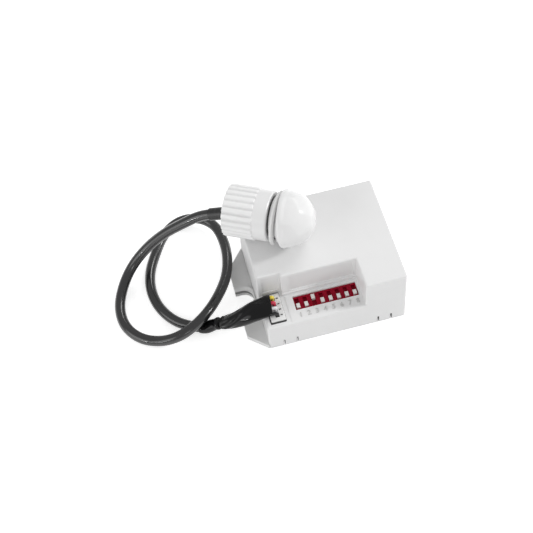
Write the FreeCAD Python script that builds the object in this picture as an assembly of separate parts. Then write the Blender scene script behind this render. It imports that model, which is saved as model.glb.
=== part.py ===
import FreeCAD, Part
import math
import os

Vector = FreeCAD.Vector

# Recessed motion sensor: a switching box, and a sensor head on a thin lead that plugs into the box.
# Millimetres. The origin is the middle of the box's underside, +X to the right, +Y to the back, +Z up.

# Box
box_length = 43.4
box_width = 38.0
box_height = 21.5
wall = 1.6
edge_round = 0.8
inner_round = 0.5

# Corner recess at the front left: a platform with the switch, and a deeper pocket for the plug
platform_height = 11.1
platform_wall = 1.2
platform_round = 0.75
recess_length = 30.6
recess_depth = 10.7
pocket_length = 7.2
pocket_depth = 12.1
recess_foot = 0.45
recess_foot_height = 1.1
groove_width = 0.25
groove_depth = 0.12
groove_offset = 0.3

# Shallow panels sunk into the recess's two back walls
panel_sink = 0.35
panel_low = 12.6
panel_high = 20.0
switch_panel_start = 2.6
switch_panel_end = 1.1
plug_panel_start = 1.4
plug_panel_end = 1.0

# Snap tabs cut into the lower edge of the front and back walls
tab_inset = 4.75
tab_width = 4.1
tab_slit = 0.4
tab_height = 3.0
tab_hook = 0.45
tab_hook_height = 0.7
tab_hook_level = 0.55
tab_catch_gap = 0.05
tab_relief = 1.8

# Base plate and its ear
base_thickness = 1.8
base_gap = 0.15
ear_reach = 5.75
ear_front_slope = 5.2
ear_back_slope = 7.2
ear_root_margin = 2.0
ear_slot_radius = 3.1
ear_slot_reach = 3.75
ear_slot_middle = 17.9
ear_rim = 1.2
ear_rim_height = 3.5
ear_lip = 0.6
ear_undercut = 0.35
post_radius = 1.6
post_inset = 2.6
post_pin_radius = 0.9
post_pin_sink = 0.2
sill_depth = 0.5
sill_gap = 0.05

# Circuit board
board_thickness = 1.6
board_standoff = 1.2
board_gap = 0.4
board_hole_gap = 0.1

# Eight-way slide switch
switch_count = 8
switch_pitch = 2.54
switch_first = 11.0
row_middle = 6.85
switch_end = 0.82
switch_depth = 9.9
switch_gap = 0.1
switch_sink = 0.5
window_end = 0.46
window_side = 0.75
window_gap = 0.1
slider_travel = 2.0
slider_width = 1.1
slider_length = 1.5
slider_stub = 0.65
slider_body = 0.7
slider_gap = 0.06
slider_edge = 0.12
switched_on = 3

# Plug and header
pin_count = 4
pin_pitch = 2.0
pin_width = 0.5
plug_middle = 4.0
header_length = 9.9
header_depth = 4.5
header_height = 5.0
header_wall = 0.6
header_floor = 1.2
header_notch = 1.0
header_notch_place = 0.3
header_notch_level = 2.6
plug_gap = 0.08
plug_floor_gap = 0.2
plug_cap_height = 1.9
plug_cap_gap = 0.1
cavity_width = 1.3
contact_wall = 0.26
contact_gap = 0.06
contact_sink = 0.2
contact_head = 0.3
crimp_level = 1.1
pin_tail = 1.0
pin_length = 4.0
port_left_gap = 0.35
port_right_gap = 0.1
port_front_gap = 0.55
port_back_gap = 0.3
latch_slot = (0.7, 0.55, 1.2)
latch_slot_offset = 0.95

# Wires, sleeve and lead
wire_radius = 0.55
wire_bend = 1.1
wire_rise = 0.1
sleeve_start = 2.7
sleeve_rest = 1.4
sleeve_end_lift = 0.35
sleeve_end_half_width = 3.75
sleeve_end_half_height = 1.45
lead_radius = 1.65

# Sensor head, measured along its own axis from the nut's rear face
head_plan_angle = -30.0
head_back_x = -2.48
head_back_y = 33.3
head_lying_gap = 0.16
barrel_radius = 6.2
barrel_back = 2.5
barrel_back_wall = 1.7
barrel_bore = 5.0
barrel_edge = 0.5
nut_radius = 8.0
nut_length = 9.4
flute_count = 24
flute_radius = 0.62
flute_depth = 0.45
flute_end_margin = 0.35
nut_round = 0.35
thread_gap = 0.05
collar_radius = 7.7
collar_length = 4.25
collar_gap = 0.05
collar_edge = 0.3
seal_space = 3.1
seal_back_gap = 1.35
seal_thickness = 1.2
seal_radius = 8.3
seal_gap = 0.12
seal_hang = 0.35
seal_lean = (-4.2, 1.4)
neck_length = 1.6
neck_radius = 7.7
lens_radius = 8.9
lens_wall = 0.75
lens_skirt = 1.4
lens_seam = 0.05
lens_seat_gap = 0.18
lens_rim = 0.6
lens_lean = (2.7, 3.9)
field_radius = 12.0
field_depth = 0.38
field_rings = [(6, 10, 0.325), (6, 50, 0.825), (1, 90, 0)]
head_board_thickness = 1.0
head_board_gap = 0.05
board_shelf = 0.8
pocket_wall = 0.7
can_radius = 4.1
can_flange = 4.6
can_flange_height = 0.5
can_height = 4.2
can_edge = 0.4
can_window = (4.4, 3.4, 0.2)
light_sensor_size = (1.2, 2.0, 0.9)
boot_radius = 1.95
boot_length = 9.3
boot_tilt = 20.0
boot_swing = 4.0
boot_drop = 0.6
boot_sunk = 1.2
lead_exit_run = 3.6

# Relay and film capacitor, with their gaps to the walls and to each other
relay_length = 7.2
relay_side_gap = 0.7
relay_front_gap = 1.4
relay_back_gap = 0.8
relay_top_gap = 0.5
relay_foot = 0.2
relay_foot_height = 1.2
relay_edge = 0.4
film_length = 8.5
film_side_gap = 1.5
film_front_gap = 3.1
film_back_gap = 0.7
film_top_gap = 0.9
film_edge = 0.8

# Terminal block: length along X, depth along Y, height, then its poles
terminal_size = (15.6, 9.6, 11.0)
terminal_inset = 13.4
terminal_back_gap = 0.2
terminal_pitch = 5.0
terminal_count = 3
terminal_hole = 1.5
terminal_hole_depth = 6.0
terminal_hole_height = 4.2
release_size = (2.6, 5.0, 1.3)
release_height = 7.6
clamp_room = (3.6, 2.9, 7.6)
clamp_room_front = 0.8
clamp_room_height = 1.6
clamp_size = (3.0, 2.4, 7.2)
clamp_gap = 0.05
clamp_lift = 0.1
clamp_metal = 0.4

# Smoothing capacitor, varistor and chip, placed from the box's right face
smoothing_inset = 6.3
smoothing_front = 9.2
smoothing_radius = 4.0
smoothing_height = 12.0
smoothing_edge = 0.5
bead_level = 2.2
bead_depth = 0.35
bead_height = 0.8
vent_width = 0.4
vent_depth = 0.25
varistor_radius = 3.5
varistor_thickness = 3.2
varistor_edge = 0.9
varistor_rise = 1.4
varistor_side_gap = 1.0
varistor_back_gap = 4.6
varistor_leg = 0.3
varistor_leg_spread = 1.4
chip_size = (8.6, 3.9, 1.5)
chip_inset = 4.2
chip_front_gap = 4.3
chip_lift = 0.15
chip_legs = 7
chip_leg_pitch = 1.27
chip_leg = (0.4, 1.05, 0.2)

# Lead, from the head's boot to the plug's sleeve: points chosen by hand, from the box's front left corner
lead_points = [
    (-16.6, 38.0, 21.2),
    (-22.4, 39.4, 16.2),
    (-28.6, 40.1, 10.4),
    (-34.6, 38.4, 5.6),
    (-39.4, 34.0, 2.7),
    (-42.2, 26.9, 1.65),
    (-41.8, 19.5, 1.65),
    (-37.9, 13.6, 1.65),
    (-31.9, 10.2, 2.0),
    (-25.8, 9.2, 4.4),
    (-20.0, 10.8, 6.5),
    (-15.2, 14.6, 6.5),
    (-10.7, 20.4, 5.5),
    (-6.9, 27.2, 4.5),
    (-5.1, 34.6, 4.1),
    (-5.3, 41.9, 3.0),
    (-7.8, 48.6, 2.0),
    (-12.7, 52.7, 1.65),
    (-18.9, 53.5, 1.65),
    (-24.2, 50.2, 1.65),
    (-27.6, 43.6, 1.65),
    (-30.3, 37.3, 1.65),
    (-31.4, 30.4, 1.65),
    (-30.2, 23.4, 1.65),
    (-26.9, 17.6, 1.65),
    (-22.6, 14.0, 1.75),
]

# Plug's sleeve, from its pinched start to the plug: place, half width, half height
sleeve_stations = [
    (-18.9, 12.0, 2.35, 1.9, 1.9),
    (-17.95, 11.5, 2.52, 1.95, 1.95),
    (-16.2, 10.8, 3.6, 2.05, 2.05),
    (-13.8, 9.8, 5.4, 1.75, 1.75),
    (-10.6, 8.7, 7.9, 2.3, 2.2),
    (-6.9, 7.9, 10.6, 2.9, 2.35),
    (-3.0, 7.2, 12.4, 3.4, 2.2),
]

left = -box_length / 2
front = -box_width / 2
right = box_length / 2
back = box_width / 2

board_bottom = base_thickness + board_standoff
board_top = board_bottom + board_thickness
switch_top = platform_height - platform_wall - switch_gap
rib_top = platform_height - switch_sink
header_top = board_top + header_height
plug_top = header_top + plug_cap_gap + plug_cap_height
window_length = (switch_count - 1) * switch_pitch + slider_width + 2 * window_end
window_depth = slider_length + slider_travel + 2 * window_side

relay_left = wall + relay_side_gap
relay_front = pocket_depth + wall + relay_front_gap
film_left = relay_left + relay_length + film_side_gap
film_front = recess_depth + wall + film_front_gap
terminal_middle = box_length - terminal_inset
terminal_left = terminal_middle - terminal_size[0] / 2
terminal_face = box_width - terminal_back_gap
terminal_front = terminal_face - terminal_size[1]

nut_front = nut_length
collar_back = nut_front + collar_gap
collar_front = collar_back + collar_length
seal_middle = collar_front + seal_back_gap
neck_back = collar_front + seal_space
neck_front = neck_back + neck_length
board_seat = neck_back + board_shelf
board_pocket = neck_radius - pocket_wall
lens_back = neck_back + lens_seam
dome_centre = lens_back + lens_skirt


def corner(x, y, z):
    # x, y and z are counted from the box's front left bottom corner
    return Vector(left + x, front + y, z)


def block(x, y, z, length, depth, height):
    return Part.makeBox(length, depth, height, corner(x, y, z))


def rounded_block(x, y, z, length, depth, height, radius):
    body = block(x, y, z, length, depth, height)
    upright = [e for e in body.Edges if abs(e.BoundBox.ZLength - height) < 1e-6]
    return body.makeFillet(radius, upright)


def edges_at(shape, test):
    return [e for e in shape.Edges if test(e.BoundBox)]


def save(name, shape):
    if isinstance(shape, list):
        shape = Part.makeCompound(shape)
    shape.exportStep("parts/" + name + ".step")
    print(name, len(shape.Solids), "solids", round(shape.Volume, 2), "mm3")


def row_places():
    return [switch_first + k * switch_pitch for k in range(switch_count)]


def pin_places():
    return [row_middle + (k - (pin_count - 1) / 2) * pin_pitch for k in range(pin_count)]


def tab_places():
    return [tab_inset, box_length - tab_inset - tab_width]


# Cover shell

def recess_space(grow, floor):
    switch_part = block(-10, -10, floor, recess_length + grow + 10, recess_depth + grow + 10, box_height)
    plug_part = block(-10, -10, floor, pocket_length + grow + 10, pocket_depth + grow + 10, box_height)
    return switch_part.fuse(plug_part).removeSplitter()


def upper_outline():
    return [
        (recess_length, 0),
        (box_length, 0),
        (box_length, box_width),
        (0, box_width),
        (0, pocket_depth),
        (pocket_length, pocket_depth),
        (pocket_length, recess_depth),
        (recess_length, recess_depth),
    ]


def upper_column():
    points = [corner(x, y, 0) for x, y in upper_outline()]
    face = Part.Face(Part.makePolygon(points + [points[0]]))
    column = face.extrude(Vector(0, 0, box_height))
    outer = column.makeFillet(edge_round, edges_at(column, is_box_corner))
    outer = outer.makeFillet(inner_round, edges_at(outer, is_recess_corner))
    return outer.makeFillet(inner_round, edges_at(outer, lambda b: b.ZMin > box_height - 1e-6))


def is_upright(b):
    return b.ZLength > box_height - 1e-3 and b.XLength < 1e-6 and b.YLength < 1e-6


def is_box_corner(b):
    at_right = b.XMin > right - 1e-3
    at_back_left = b.XMax < left + 1e-3 and b.YMin > back - 1e-3
    return is_upright(b) and (at_right or at_back_left)


def is_recess_corner(b):
    at_front = b.YMax < front + 1e-3 and b.XMin < left + recess_length + 1e-3
    at_left = b.XMax < left + 1e-3 and b.YMin < front + pocket_depth + 1e-3
    return is_upright(b) and (at_front or at_left)


def is_platform_edge(b):
    level = b.ZMin > platform_height - 1e-6
    at_front = b.YMax < front + edge_round + 1e-3
    at_left = b.XMax < left + edge_round + 1e-3
    return level and (at_front or at_left)


def cover_outside():
    low = rounded_block(0, 0, 0, box_length, box_width, platform_height, edge_round)
    low = low.makeFillet(platform_round, edges_at(low, is_platform_edge))
    return low.fuse(upper_column()).removeSplitter()


def cover_inside():
    length = box_length - 2 * wall
    depth = box_width - 2 * wall
    room = rounded_block(wall, wall, -1, length, depth, box_height - wall + 1, inner_round)
    return room.cut(recess_space(wall, platform_height - platform_wall))


def window_start():
    return switch_first + (switch_count - 1) * switch_pitch / 2 - window_length / 2


def switch_window():
    y = row_middle - window_depth / 2
    return block(window_start(), y, platform_height - 3, window_length, window_depth, 6)


def plug_port():
    length = header_depth + port_left_gap + port_right_gap
    depth = header_length + port_front_gap + port_back_gap
    x = plug_middle - header_depth / 2 - port_left_gap
    y = row_middle - header_length / 2 - port_front_gap
    return rounded_block(x, y, platform_height - 3, length, depth, 6, 0.3)


def ear_notch():
    depth = box_width - 2 * ear_root_margin + 2 * base_gap
    return block(-1, ear_root_margin - base_gap, -1, wall + 2, depth, base_thickness + 1 + 0.1)


def terminal_notch():
    length = terminal_size[0] + 2 * base_gap
    top = board_top + terminal_size[2] + base_gap
    return block(terminal_left - base_gap, box_width - wall - 1, -1, length, wall + 2, top + 1)


def tab_slits():
    slits = []
    for x in tab_places():
        for edge in (x - tab_slit / 2, x + tab_width - tab_slit / 2):
            slits.append(block(edge, -1, -1, tab_slit, wall + 1.5, tab_height + 1))
    return slits


def tab_hooks():
    hooks = []
    for x in tab_places():
        start = x + tab_slit
        hook = block(start, wall, tab_hook_level, tab_width - 2 * tab_slit, tab_hook, tab_hook_height)
        tip = front + wall + tab_hook - 1e-3
        lower = edges_at(hook, lambda b: b.ZMax < tab_hook_level + 1e-3 and b.YMin > tip)
        hooks.append(hook.makeChamfer(tab_hook * 0.6, lower))
    return hooks


def recess_ledge():
    length = recess_length - pocket_length
    y = recess_depth - recess_foot
    return block(pocket_length, y, platform_height, length, recess_foot, recess_foot_height)


def recess_panels():
    height = panel_high - panel_low
    start = pocket_length + switch_panel_start
    length = recess_length - switch_panel_end - start
    plug_length = pocket_length - plug_panel_start - plug_panel_end
    return [
        block(start, recess_depth - 1, panel_low, length, 1 + panel_sink, height),
        block(plug_panel_start, pocket_depth - 1, panel_low, plug_length, 1 + panel_sink, height),
    ]


def platform_groove():
    start = platform_round + 0.05
    x = pocket_length + groove_offset
    depth = recess_depth - recess_foot - start
    return block(x, start, platform_height - groove_depth, groove_width, depth, 1)


def cover_shell():
    shell = cover_outside().cut(cover_inside())
    shell = shell.fuse([recess_ledge()] + tab_hooks())
    cuts = [switch_window(), plug_port(), ear_notch(), terminal_notch(), platform_groove()]
    return shell.cut(cuts + recess_panels() + tab_slits()).removeSplitter()


# Base plate with the ear, the board's posts and the sill under the terminals

def post_places():
    inset = wall + post_inset
    far_x = box_length - inset
    far_y = box_width - inset
    return [(inset, pocket_depth + inset), (far_x, inset), (inset, far_y), (far_x, far_y)]


def ear_outline():
    corners = [
        (wall + base_gap + 1, ear_root_margin),
        (0, ear_root_margin),
        (0, 0),
        (-ear_reach, ear_front_slope),
        (-ear_reach, box_width - ear_back_slope),
        (0, box_width),
        (0, box_width - ear_root_margin),
        (wall + base_gap + 1, box_width - ear_root_margin),
    ]
    points = [corner(x, y, 0) for x, y in corners]
    face = Part.Face(Part.makePolygon(points + [points[0]]))
    return face.extrude(Vector(0, 0, base_thickness))


def ear_slot(grow, height):
    middle = corner(-ear_slot_reach, ear_slot_middle, -1)
    radius = ear_slot_radius + grow
    end = Part.makeCylinder(radius, height + 1, middle)
    reach = ear_reach - ear_slot_reach
    open_side = block(-ear_reach, ear_slot_middle - radius, -1, reach, 2 * radius, height + 1)
    return end.fuse(open_side)


def ear_mouth(grow, height):
    radius = ear_slot_radius + grow
    return block(-ear_reach - 1, ear_slot_middle - radius, -1, 2, 2 * radius, height + 1)


def ear_rim_ring():
    ring = ear_slot(ear_rim, ear_rim_height)
    bounds = block(-ear_reach, 0, 0, ear_reach - base_gap, box_width, ear_rim_height)
    return ring.common(bounds)


def tab_catches():
    catches = []
    for x in tab_places():
        depth = tab_hook + base_gap
        height = tab_hook_height + 2 * tab_catch_gap
        catches.append(block(x, wall, tab_hook_level - tab_catch_gap, tab_width, depth, height))
        for edge in (x - tab_slit / 2, x + tab_width - tab_slit / 2):
            catches.append(block(edge, wall, -1, tab_slit, tab_relief, base_thickness + 2))
    return catches


def terminal_sill():
    depth = wall + base_gap + sill_depth
    return block(terminal_left, box_width - depth, 0, terminal_size[0], depth, board_top - sill_gap)


def base_plate():
    inset = wall + base_gap
    length = box_length - 2 * inset
    depth = box_width - 2 * inset
    plate = rounded_block(inset, inset, 0, length, depth, base_thickness, inner_round)
    posts = []
    for x, y in post_places():
        posts.append(Part.makeCylinder(post_radius, board_bottom, corner(x, y, 0)))
        posts.append(Part.makeCylinder(post_pin_radius, board_top - post_pin_sink, corner(x, y, 0)))
    plate = plate.fuse([ear_outline(), ear_rim_ring(), terminal_sill()] + posts)
    above = ear_rim_height + 1
    under = ear_rim_height - ear_lip
    cuts = [ear_slot(0, above), ear_mouth(0, above)]
    cuts += [ear_slot(ear_undercut, under), ear_mouth(ear_undercut, under)]
    return plate.cut(cuts + tab_catches()).removeSplitter()


# Circuit board and what stands on it

def circuit_board():
    inset = wall + board_gap
    length = box_length - 2 * inset
    depth = box_width - 2 * inset
    board = rounded_block(inset, inset, board_bottom, length, depth, board_thickness, inner_round)
    radius = post_pin_radius + board_hole_gap
    holes = [Part.makeCylinder(radius, box_height, corner(x, y, 0)) for x, y in post_places()]
    side = pin_width + 2 * board_hole_gap
    holes += [block(plug_middle - side / 2, y - side / 2, 0, side, side, box_height) for y in pin_places()]
    room = 2 * base_gap
    sill_y = box_width - wall - sill_depth - room
    holes.append(block(terminal_left - room, sill_y, 0, terminal_size[0] + 2 * room, wall, box_height))
    return board.cut(holes)


def bevelled_case(x, y, length, depth, top, edge):
    body = block(x, y, board_top, length, depth, top - board_top)
    seen = edges_at(body, lambda b: b.ZMax > top - 1e-3)
    return body.makeChamfer(edge, seen)


def relay():
    depth = box_width - wall - relay_back_gap - relay_front
    top = box_height - wall - relay_top_gap
    body = bevelled_case(relay_left, relay_front, relay_length, depth, top, relay_edge)
    foot = block(relay_left - relay_foot, relay_front - relay_foot, board_top,
                 relay_length + 2 * relay_foot, depth + 2 * relay_foot, relay_foot_height)
    return body.fuse(foot).removeSplitter()


def film_capacitor():
    depth = terminal_front - film_back_gap - film_front
    top = box_height - wall - film_top_gap
    return bevelled_case(film_left, film_front, film_length, depth, top, film_edge)


def smoothing_capacitor():
    r = smoothing_radius
    h = smoothing_height
    e = smoothing_edge
    profile = [
        (0, 0),
        (r - e, 0),
        (r, e),
        (r, bead_level - bead_height),
        (r - bead_depth, bead_level),
        (r, bead_level + bead_height),
        (r, h - e),
        (r - e, h),
        (0, h),
    ]
    can = turned(profile)
    reach = r * 0.6
    vents = [
        Part.makeBox(2 * reach, vent_width, 1, Vector(-reach, -vent_width / 2, h - vent_depth)),
        Part.makeBox(vent_width, 2 * reach, 1, Vector(-vent_width / 2, -reach, h - vent_depth)),
    ]
    can = can.cut(vents)
    can.translate(corner(box_length - smoothing_inset, smoothing_front, board_top))
    return can


def varistor():
    x = film_left + film_length + varistor_side_gap + varistor_radius
    y = terminal_front - varistor_back_gap - varistor_thickness
    centre_z = board_top + varistor_radius + varistor_rise
    disc = Part.makeCylinder(varistor_radius, varistor_thickness, corner(x, y, centre_z), Vector(0, 1, 0))
    disc = disc.makeChamfer(varistor_edge, [e for e in disc.Edges if len(e.Vertexes) == 1])
    leg_y = y + varistor_thickness / 2
    leg_top = varistor_rise + varistor_radius / 2
    legs = []
    for side in (-1, 1):
        foot = corner(x + side * varistor_leg_spread, leg_y, board_top)
        legs.append(Part.makeCylinder(varistor_leg, leg_top, foot))
    return disc.fuse(legs).removeSplitter()


def control_chip():
    length, depth, height = chip_size
    leg_width, leg_reach, leg_height = chip_leg
    x = box_length - chip_inset - length
    y = recess_depth + chip_front_gap
    body = block(x, y, board_top + chip_lift, length, depth, height)
    legs = []
    for k in range(chip_legs):
        start = x + length / 2 + (k - (chip_legs - 1) / 2) * chip_leg_pitch - leg_width / 2
        legs.append(block(start, y - leg_reach, board_top, leg_width, depth + 2 * leg_reach, leg_height))
    return body.fuse(legs).removeSplitter()


def pole_places():
    middle = (terminal_count - 1) / 2
    return [terminal_middle + (k - middle) * terminal_pitch for k in range(terminal_count)]


def terminal_block():
    length, depth, height = terminal_size
    slot_length, slot_depth, slot_height = release_size
    room_length, room_depth, room_height = clamp_room
    room_y = terminal_front + clamp_room_front
    room_z = board_top + clamp_room_height
    body = block(terminal_left, terminal_front, board_top, length, depth, height)
    body = body.makeChamfer(0.3, edges_at(body, lambda b: b.YMin > back - terminal_back_gap - 1e-3))
    cuts = []
    for x in pole_places():
        mouth = corner(x, terminal_face - terminal_hole_depth, board_top + terminal_hole_height)
        cuts.append(Part.makeCylinder(terminal_hole, terminal_hole_depth + 1, mouth, Vector(0, 1, 0)))
        slot_y = terminal_face - slot_depth
        slot_z = board_top + release_height
        cuts.append(block(x - slot_length / 2, slot_y, slot_z, slot_length, slot_depth + 1, slot_height))
        cuts.append(block(x - room_length / 2, room_y, room_z, room_length, room_depth, room_height))
    return body.cut(cuts)


def terminal_clamps():
    length, depth, height = clamp_size
    y = terminal_front + clamp_room_front + clamp_gap
    z = board_top + clamp_room_height + clamp_lift
    clamps = []
    for x in pole_places():
        start = x - length / 2
        post = block(start, y, z, length, clamp_metal, height)
        foot = block(start, y, z, length, depth, clamp_metal)
        roof = block(start, y, z + height - clamp_metal, length, depth, clamp_metal)
        clamps.append(post.fuse([roof, foot]).removeSplitter())
    return clamps


# Slide switch

def switch_body():
    start = switch_first - switch_pitch / 2 - switch_end
    length = switch_count * switch_pitch + 2 * switch_end
    height = switch_top - board_top
    body = block(start, row_middle - switch_depth / 2, board_top, length, switch_depth, height)
    rib_length = window_length - 2 * window_gap
    rib_depth = window_depth - 2 * window_gap
    rib_start = window_start() + window_gap
    rib_height = rib_top - switch_top
    rib = block(rib_start, row_middle - rib_depth / 2, switch_top, rib_length, rib_depth, rib_height)
    slots = []
    width = slider_width + 2 * slider_gap
    run = slider_length + slider_travel + 2 * slider_gap
    depth = slider_body + slider_gap
    for x in row_places():
        slots.append(block(x - width / 2, row_middle - run / 2, rib_top - depth, width, run, depth + 1))
    return body.fuse(rib).cut(slots).removeSplitter()


def slider(number):
    x = row_places()[number - 1]
    side = 1 if number == switched_on else -1
    y = row_middle + side * slider_travel / 2
    low = rib_top - slider_body
    height = slider_body + slider_stub
    body = block(x - slider_width / 2, y - slider_length / 2, low, slider_width, slider_length, height)
    return body.makeChamfer(slider_edge, edges_at(body, lambda b: b.ZMin > low + height - 1e-3))


# Header, plug and wires

def pin_header():
    x = plug_middle - header_depth / 2
    y = row_middle - header_length / 2
    body = rounded_block(x, y, board_top, header_depth, header_length, header_height, 0.25)
    inner = block(x + header_wall, y + header_wall, board_top + header_floor,
                  header_depth - 2 * header_wall, header_length - 2 * header_wall, header_height)
    cuts = [inner]
    for y_pin in pin_places():
        half = pin_width / 2
        cuts.append(block(plug_middle - half, y_pin - half, 0, pin_width, pin_width, header_top))
    for end in (-1, 1):
        notch_y = row_middle + end * header_length * header_notch_place - header_notch / 2
        notch_z = board_top + header_notch_level
        cuts.append(block(x - 1, notch_y, notch_z, header_wall + 1.5, header_notch, header_height))
    return body.cut(cuts)


def pin_top():
    return board_top + header_floor + pin_length


def header_pins():
    half = pin_width / 2
    low = board_bottom - pin_tail
    length = pin_top() - low
    return [block(plug_middle - half, y - half, low, pin_width, pin_width, length) for y in pin_places()]


def tongue_bottom():
    return board_top + header_floor + plug_floor_gap


def plug_housing():
    cap_low = header_top + plug_cap_gap
    cap_length = header_length - 2 * plug_cap_gap
    cap = rounded_block(plug_middle - header_depth / 2, row_middle - cap_length / 2, cap_low,
                        header_depth, cap_length, plug_cap_height, 0.25)
    cap = cap.makeChamfer(0.2, edges_at(cap, lambda b: b.ZMin > plug_top - 1e-3))
    inset = header_wall + plug_gap
    tongue_x = plug_middle - header_depth / 2 + inset
    tongue_y = row_middle - header_length / 2 + inset
    tongue = block(tongue_x, tongue_y, tongue_bottom(),
                   header_depth - 2 * inset, header_length - 2 * inset, cap_low - tongue_bottom())
    half = cavity_width / 2
    length, depth, sink = latch_slot
    slot_x = plug_middle + latch_slot_offset
    slot_z = plug_top - sink
    cuts = []
    for y in pin_places():
        cuts.append(block(plug_middle - half, y - half, 0, cavity_width, cavity_width, box_height))
        cuts.append(block(slot_x, y - depth / 2, slot_z, length, depth, box_height))
    return cap.fuse(tongue).cut(cuts).removeSplitter()


def wire_start():
    return pin_top() + crimp_level


def plug_contacts():
    contacts = []
    side = cavity_width - 2 * contact_gap
    bore = pin_width + 2 * contact_gap
    low = tongue_bottom() + contact_sink
    sleeve_top = pin_top() + contact_head
    bore_height = sleeve_top - low + 1 - contact_wall
    for y in pin_places():
        socket = block(plug_middle - side / 2, y - side / 2, low, side, side, sleeve_top - low)
        hole = block(plug_middle - bore / 2, y - bore / 2, low - 1, bore, bore, bore_height)
        crimp = Part.makeCylinder(wire_radius, wire_start() - sleeve_top, corner(plug_middle, y, sleeve_top))
        contacts.append(socket.cut(hole).fuse(crimp).removeSplitter())
    return contacts


def wire_level():
    return plug_top + wire_rise + wire_bend


def wire(y):
    low = corner(plug_middle, y, wire_start())
    up = corner(plug_middle, y, plug_top + wire_rise)
    turn = wire_bend * (1 - math.sqrt(0.5))
    middle = corner(plug_middle - turn, y, wire_level() - turn)
    over = corner(plug_middle - wire_bend, y, wire_level())
    end = corner(sleeve_start, y, wire_level())
    edges = [Part.makeLine(low, up), Part.Arc(up, middle, over).toShape(), Part.makeLine(over, end)]
    ring = Part.Wire([Part.makeCircle(wire_radius, low, Vector(0, 0, 1))])
    return Part.Wire(edges).makePipeShell([ring], True, False)


def oval(place, direction, half_width, half_height):
    side = direction.cross(Vector(0, 0, 1)).normalize()
    up = side.cross(direction).normalize()
    wide = max(half_width, half_height) + 0.001
    edge = Part.Ellipse(Vector(0, 0, 0), wide, half_height).toShape()
    edge.Placement = FreeCAD.Placement(place, FreeCAD.Rotation(side, up, direction * -1, "ZXY"))
    return Part.Wire([edge])


def sleeve_places():
    level = wire_level() + sleeve_end_lift
    stations = list(sleeve_stations)
    stations.append((sleeve_rest, row_middle, level, sleeve_end_half_width, sleeve_end_half_height))
    stations.append((sleeve_start, row_middle, level, sleeve_end_half_width, sleeve_end_half_height))
    return stations


def heat_shrink_sleeve():
    stations = sleeve_places()
    places = [corner(*station[:3]) for station in stations]
    rings = []
    for k, station in enumerate(stations):
        ahead = places[min(k + 1, len(places) - 1)]
        behind = places[max(k - 1, 0)]
        direction = (ahead - behind).normalize()
        if k == 0:
            direction = (places[0] - corner(*lead_points[-1])).normalize()
        if k >= len(stations) - 2:
            direction = Vector(1, 0, 0)
        rings.append(oval(places[k], direction, station[3], station[4]))
    return Part.makeLoft(rings, True, True)


# Sensor head: built upright on its own axis, then laid on the box with the lens and the nut touching it

def head_tilt():
    plan = math.radians(head_plan_angle)
    edge_reach = -head_back_x / math.cos(plan)
    return math.asin((lens_radius - nut_radius) / (dome_centre - edge_reach))


def head_axis():
    plan = math.radians(head_plan_angle)
    tilt = head_tilt()
    return Vector(math.cos(plan) * math.cos(tilt), math.sin(plan) * math.cos(tilt), math.sin(tilt))


def head_placement():
    axis = head_axis()
    side = Vector(0, 0, 1).cross(axis).normalize()
    up = axis.cross(side)
    height = box_height + head_lying_gap + lens_radius - math.sin(head_tilt()) * dome_centre
    turn = FreeCAD.Rotation(up, side * -1, axis, "ZXY")
    return FreeCAD.Placement(corner(head_back_x, head_back_y, height), turn)


def on_head(shape):
    placed = shape.copy()
    placed.Placement = head_placement().multiply(placed.Placement)
    return placed


def turned(profile):
    points = [Vector(r, 0, s) for r, s in profile]
    face = Part.Face(Part.makePolygon(points + [points[0]]))
    return face.revolve(Vector(0, 0, 0), Vector(0, 0, 1), 360)


def leaned(shape, lean, place):
    # a shape that leans about a point of the head's axis: first up and down, then sideways
    upwards = FreeCAD.Rotation(Vector(0, 1, 0), lean[0])
    sideways = FreeCAD.Rotation(Vector(1, 0, 0), lean[1])
    turn = FreeCAD.Placement(Vector(0, 0, 0), upwards.multiply(sideways), Vector(0, 0, place))
    placed = shape.copy()
    placed.Placement = turn.multiply(placed.Placement)
    return placed


def head_body():
    wall_front = barrel_back + barrel_back_wall
    profile = [
        (0, barrel_back),
        (barrel_radius - barrel_edge, barrel_back),
        (barrel_radius, barrel_back + barrel_edge),
        (barrel_radius, neck_back),
        (neck_radius, neck_back),
        (neck_radius, neck_front),
        (board_pocket, neck_front),
        (board_pocket, board_seat),
        (barrel_bore, board_seat),
        (barrel_bore, wall_front),
        (0, wall_front),
    ]
    return on_head(turned(profile))


def seal_ring():
    bore = barrel_radius + seal_gap + seal_hang
    half = seal_thickness / 2
    profile = [
        (bore, seal_middle - half),
        (seal_radius - 0.5, seal_middle - half),
        (seal_radius, seal_middle),
        (seal_radius, seal_middle + 0.15),
        (seal_radius - 0.45, seal_middle + half),
        (bore, seal_middle + half),
    ]
    ring = leaned(turned(profile), seal_lean, seal_middle)
    ring.translate(Vector(-seal_hang, 0, 0))
    return on_head(ring)


def field_directions():
    directions = []
    for count, rise, offset in field_rings:
        for k in range(count):
            around = math.radians((k + offset) * 360 / count)
            up = math.radians(rise)
            across = math.cos(up)
            directions.append(Vector(math.cos(around) * across, math.sin(around) * across, math.sin(up)))
    return directions


def lens_dome():
    # each field is part of a larger ball, whose nearest point lies a little inside the dome
    centre = Vector(0, 0, dome_centre)
    dome = Part.makeSphere(lens_radius, centre, Vector(0, 0, 1), 0, 90)
    set_back = field_radius - (lens_radius - field_depth)
    for direction in field_directions():
        dome = dome.common(Part.makeSphere(field_radius, centre - direction * set_back))
    skirt = Part.makeCylinder(lens_radius, lens_skirt, Vector(0, 0, lens_back))
    shell = dome.fuse(skirt).cut(turned(lens_hollow()))
    return on_head(leaned(shell, lens_lean, dome_centre))


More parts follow.
